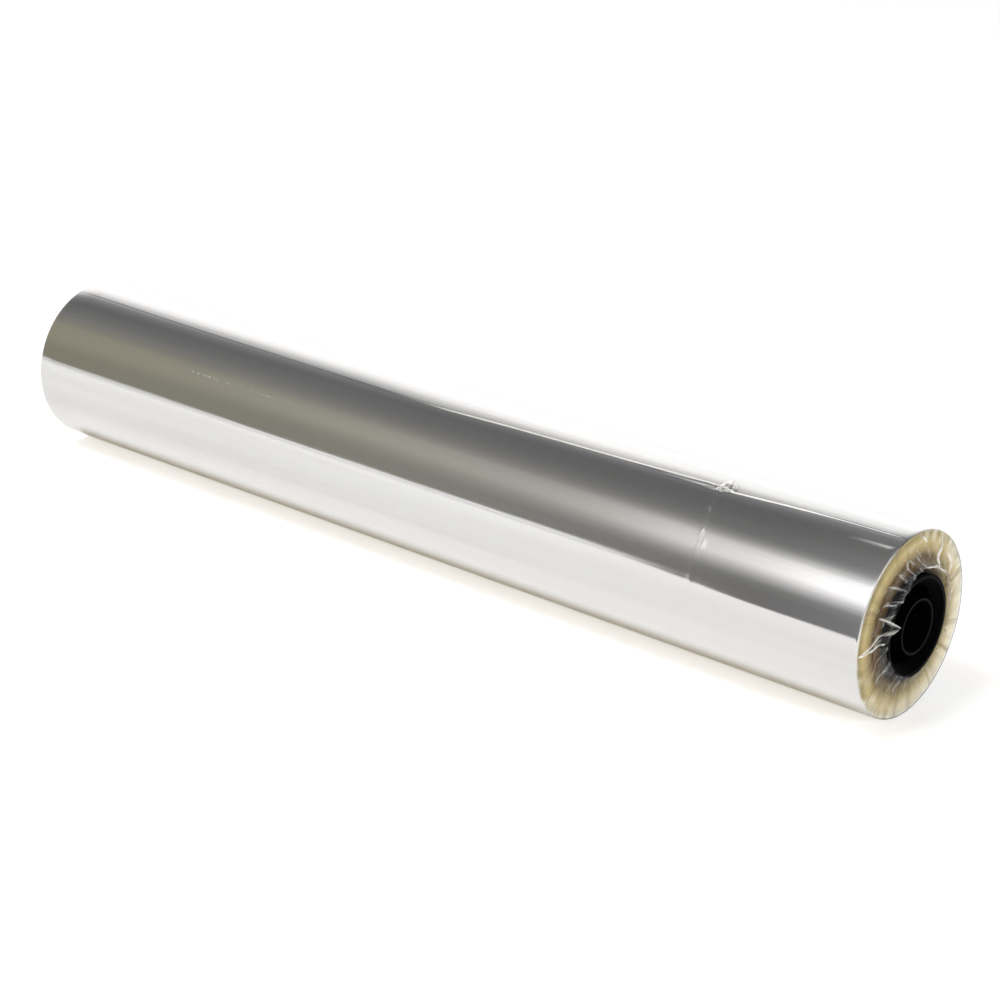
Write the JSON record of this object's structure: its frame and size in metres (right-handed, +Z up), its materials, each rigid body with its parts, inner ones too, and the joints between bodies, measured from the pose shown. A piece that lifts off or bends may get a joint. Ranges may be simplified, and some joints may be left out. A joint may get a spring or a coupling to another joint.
{
  "type": "stretch wrap roll",
  "caption": "Roll of clear stretch film on a black plastic core with open end plugs, in a clear shrunk overwrap with gathered ends, lying on its side.",
  "frame": {"origin": "middle of the roll's length and width, at the floor that it lies on", "axes": "+X along the roll's axis, towards the end that the picture shows; +Z up; the picture looks from -Y and +X"},
  "size_m": [0.5084, 0.083, 0.0835],
  "materials": {
    "core": "extruded black plastic",
    "film": "clear stretch film wound hard, glossy on the turns and cream on the slit ends",
    "plug": "moulded black plastic, fine satin",
    "overwrap": "thin clear shrink film, glossy, creased and gathered"
  },
  "bodies": {
    "root": {"core_tube": "core", "film_roll": "film", "end_plug_right": "plug", "end_plug_left": "plug", "shrink_wrap": "overwrap"}
  },
  "joints": []
}
